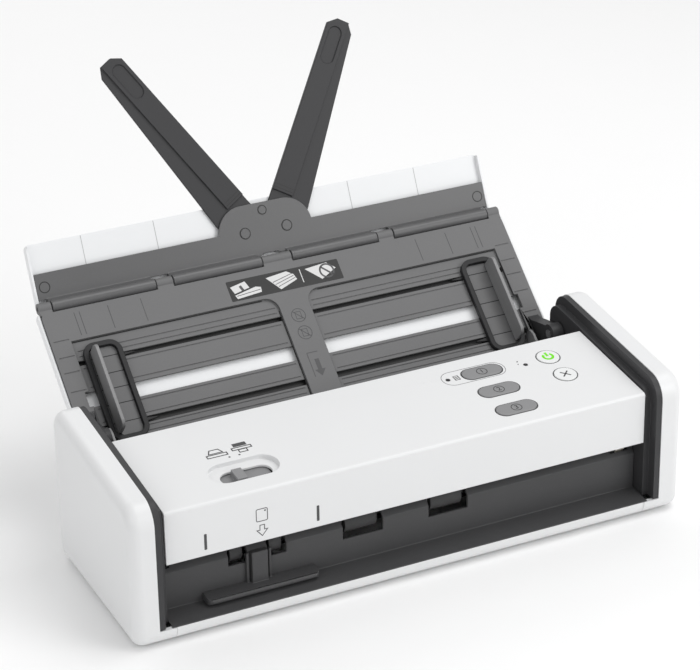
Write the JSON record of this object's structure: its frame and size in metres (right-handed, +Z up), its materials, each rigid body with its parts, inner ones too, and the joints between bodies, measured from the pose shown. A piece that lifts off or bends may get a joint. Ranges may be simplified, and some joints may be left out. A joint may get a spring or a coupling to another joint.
{
  "type": "sheet fed document scanner",
  "caption": "Desktop sheet fed document scanner with an open feed tray, sliding paper guides, folding tray extension with two support arms, hinged front cover with keys, and a front paper exit.",
  "frame": {"origin": "on the desk under the middle of the base's width, 52 mm behind the base's front face", "axes": "+Z up, the front with the paper exit faces -Y, +X to the right seen from the front"},
  "size_m": [0.3, 0.2228, 0.2108],
  "materials": {
    "white_case": "satin white moulding",
    "dark_case": "fine grained dark grey moulding",
    "tray_grey": "fine grained grey moulding",
    "guide_grey": "satin grey moulding",
    "key_grey": "satin grey key",
    "white_key": "satin white key",
    "chassis_black": "matte black moulding",
    "roller_grey": "ground rubber sleeve",
    "foot_rubber": "soft black rubber",
    "bush_cream": "self lubricating plastic",
    "gear_white": "natural acetal",
    "steel": "ground steel",
    "brass": "machined brass",
    "plated": "bright zinc plate",
    "motor_can": "plated steel can",
    "board_green": "solder masked laminate",
    "socket_metal": "plated socket shells",
    "scan_glass": "clear float glass",
    "light_pipe": "clear acrylic light pipe"
  },
  "bodies": {
    "base": {"right_side_cover": "white_case", "left_side_cover": "white_case", "right_frame": "dark_case", "left_frame": "dark_case", "bottom_cover": "white_case", "rubber_feet": "foot_rubber", "rear_cover": "white_case", "exit_recess": "dark_case", "card_rest": "dark_case", "feed_chassis": "chassis_black", "shaft_bushes": "bush_cream", "rear_image_sensor": "chassis_black", "rear_scan_glass": "scan_glass", "feed_motor": "motor_can", "main_board": "board_green", "board_screws": "plated", "rear_sockets": "socket_metal", "hinge_pins": "steel"},
    "lid": {"tray_panel": "tray_grey", "lid_shell": "white_case"},
    "flap": {"flap_frame": "dark_case", "flap_hinge_rod": "steel", "flap_shell": "white_case"},
    "arm_right": {"right_arm": "dark_case"},
    "arm_left": {"left_arm": "dark_case"},
    "guide_right": {"right_guide": "guide_grey"},
    "guide_left": {"left_guide": "guide_grey"},
    "fin_right": {"right_guide_plate": "guide_grey"},
    "fin_left": {"left_guide_plate": "guide_grey"},
    "pinion": {"guide_pinion": "gear_white"},
    "cover": {"front_cover": "white_case", "button_board": "board_green", "light_pipes": "light_pipe", "cover_inner_frame": "chassis_black", "front_image_sensor": "chassis_black", "front_scan_glass": "scan_glass", "idler_pins": "steel"},
    "selector": {"exit_selector": "key_grey"},
    "diverter": {"exit_diverter": "chassis_black"},
    "key_one": {"first_scan_button": "key_grey"},
    "key_two": {"second_scan_button": "key_grey"},
    "key_three": {"third_scan_button": "key_grey"},
    "key_power": {"power_button": "white_key"},
    "key_cancel": {"cancel_button": "white_key"},
    "pick": {"pick_shaft": "steel", "pick_rollers": "roller_grey", "pick_gear": "gear_white"},
    "drive": {"drive_shaft": "steel", "drive_rollers": "roller_grey", "drive_gear": "gear_white"},
    "eject": {"eject_shaft": "steel", "eject_rollers": "roller_grey", "eject_gear": "gear_white"},
    "idler_rear": {"rear_idler_gear": "gear_white"},
    "idler_front": {"front_idler_gear": "gear_white"},
    "motor": {"motor_pinion": "brass"},
    "nips": {"nip_rollers": "roller_grey"},
    "stars": {"star_rollers": "roller_grey"},
    "brake": {"brake_rollers": "roller_grey"}
  },
  "joints": [
    {"name": "lid_hinge", "type": "hinge", "parent": "base", "child": "lid", "pos_m": [0, 0.0396, 0.0656], "axis": [1, 0, 0], "range_deg": [0, 145.4]},
    {"name": "flap_hinge", "type": "hinge", "parent": "lid", "child": "flap", "pos_m": [0, 0.11282, 0.10595], "axis": [1, 0, 0], "range_deg": [0, 60.4]},
    {"name": "right_arm_pivot", "type": "hinge", "parent": "flap", "child": "arm_right", "pos_m": [0.012, 0.11987, 0.12054], "axis": [0, 0.9003, -0.4352], "range_deg": [0, 58.2]},
    {"name": "left_arm_pivot", "type": "hinge", "parent": "flap", "child": "arm_left", "pos_m": [-0.012, 0.11987, 0.12054], "axis": [0, -0.9003, 0.4352], "range_deg": [0, 58.2]},
    {"name": "guide_slide", "type": "slide", "parent": "lid", "child": "guide_right", "axis": [-1, 0, 0], "range_m": [0, 0.075]},
    {"name": "left_guide_slide", "type": "slide", "parent": "lid", "child": "guide_left", "axis": [1, 0, 0], "range_m": [0, 0.075]},
    {"name": "guide_pinion_spin", "type": "hinge", "parent": "lid", "child": "pinion", "pos_m": [0, 0.07978, 0.08061], "axis": [0, -0.6441, 0.7649], "range_deg": [-1, 1080]},
    {"name": "right_plate_fold", "type": "hinge", "parent": "guide_right", "child": "fin_right", "pos_m": [0.113, 0.04868, 0.05481], "axis": [0, -0.7649, -0.6441], "range_deg": [0, 90]},
    {"name": "left_plate_fold", "type": "hinge", "parent": "guide_left", "child": "fin_left", "pos_m": [-0.113, 0.04868, 0.05481], "axis": [0, 0.7649, 0.6441], "range_deg": [0, 90]},
    {"name": "cover_hinge", "type": "hinge", "parent": "base", "child": "cover", "pos_m": [0, -0.04, 0.046], "axis": [-1, 0, 0], "range_deg": [-55, 0]},
    {"name": "power_press", "type": "slide", "parent": "cover", "child": "key_power", "axis": [0, 0.0958, -0.9954], "range_m": [0, 0.0008], "stiffness_N_per_m": 600, "springref_m": -0.0005},
    {"name": "cancel_press", "type": "slide", "parent": "cover", "child": "key_cancel", "axis": [0, 0.0958, -0.9954], "range_m": [0, 0.0008], "stiffness_N_per_m": 600, "springref_m": -0.0005},
    {"name": "first_scan_press", "type": "slide", "parent": "cover", "child": "key_one", "axis": [0, 0.0958, -0.9954], "range_m": [0, 0.0008], "stiffness_N_per_m": 600, "springref_m": -0.0005},
    {"name": "second_scan_press", "type": "slide", "parent": "cover", "child": "key_two", "axis": [0, 0.0958, -0.9954], "range_m": [0, 0.0008], "stiffness_N_per_m": 600, "springref_m": -0.0005},
    {"name": "third_scan_press", "type": "slide", "parent": "cover", "child": "key_three", "axis": [0, 0.0958, -0.9954], "range_m": [0, 0.0008], "stiffness_N_per_m": 600, "springref_m": -0.0005},
    {"name": "selector_slide", "type": "slide", "parent": "cover", "child": "selector", "axis": [1, 0, 0], "range_m": [0, 0.0052]},
    {"name": "diverter_tilt", "type": "hinge", "parent": "cover", "child": "diverter", "pos_m": [0, -0.0256, 0.041], "axis": [1, 0, 0], "range_deg": [0, 15.1]},
    {"name": "pick_spin", "type": "hinge", "parent": "base", "child": "pick", "pos_m": [0, 0.024, 0.027], "axis": [1, 0, 0], "continuous": true},
    {"name": "drive_spin", "type": "hinge", "parent": "base", "child": "drive", "pos_m": [0, 0.002, 0.0282], "axis": [1, 0, 0], "continuous": true},
    {"name": "eject_spin", "type": "hinge", "parent": "base", "child": "eject", "pos_m": [0, -0.0288, 0.0299], "axis": [1, 0, 0], "continuous": true},
    {"name": "rear_idler_spin", "type": "hinge", "parent": "base", "child": "idler_rear", "pos_m": [0, 0.01245, 0.01743], "axis": [1, 0, 0], "continuous": true},
    {"name": "front_idler_spin", "type": "hinge", "parent": "base", "child": "idler_front", "pos_m": [0, -0.01511, 0.02262], "axis": [1, 0, 0], "continuous": true},
    {"name": "motor_spin", "type": "hinge", "parent": "base", "child": "motor", "pos_m": [0, 0.037, 0.027], "axis": [1, 0, 0], "continuous": true},
    {"name": "nip_spin", "type": "hinge", "parent": "cover", "child": "nips", "pos_m": [0, 0.002, 0.0418], "axis": [1, 0, 0], "continuous": true},
    {"name": "star_spin", "type": "hinge", "parent": "cover", "child": "stars", "pos_m": [0, -0.0288, 0.0409], "axis": [1, 0, 0], "continuous": true},
    {"name": "brake_spin", "type": "hinge", "parent": "cover", "child": "brake", "pos_m": [0, 0.024, 0.0439], "axis": [1, 0, 0], "continuous": true}
  ],
  "couplings": [
    {"joint": "left_guide_slide", "follows": "guide_slide", "ratio": 1},
    {"joint": "guide_pinion_spin", "follows": "guide_slide", "rad_per_m": 250},
    {"joint": "right_plate_fold", "follows": "lid_hinge", "ratio": 0.61898},
    {"joint": "left_plate_fold", "follows": "lid_hinge", "ratio": 0.61898},
    {"joint": "diverter_tilt", "follows": "selector_slide", "rad_per_m": 50.4},
    {"joint": "drive_spin", "follows": "pick_spin", "ratio": 1},
    {"joint": "eject_spin", "follows": "pick_spin", "ratio": 1.4545},
    {"joint": "rear_idler_spin", "follows": "pick_spin", "ratio": -1.1429},
    {"joint": "front_idler_spin", "follows": "pick_spin", "ratio": -0.8},
    {"joint": "motor_spin", "follows": "pick_spin", "ratio": -1.6},
    {"joint": "brake_spin", "follows": "pick_spin", "ratio": -1.3571},
    {"joint": "nip_spin", "follows": "pick_spin", "ratio": -1.66},
    {"joint": "star_spin", "follows": "pick_spin", "ratio": -2.1818}
  ]
}
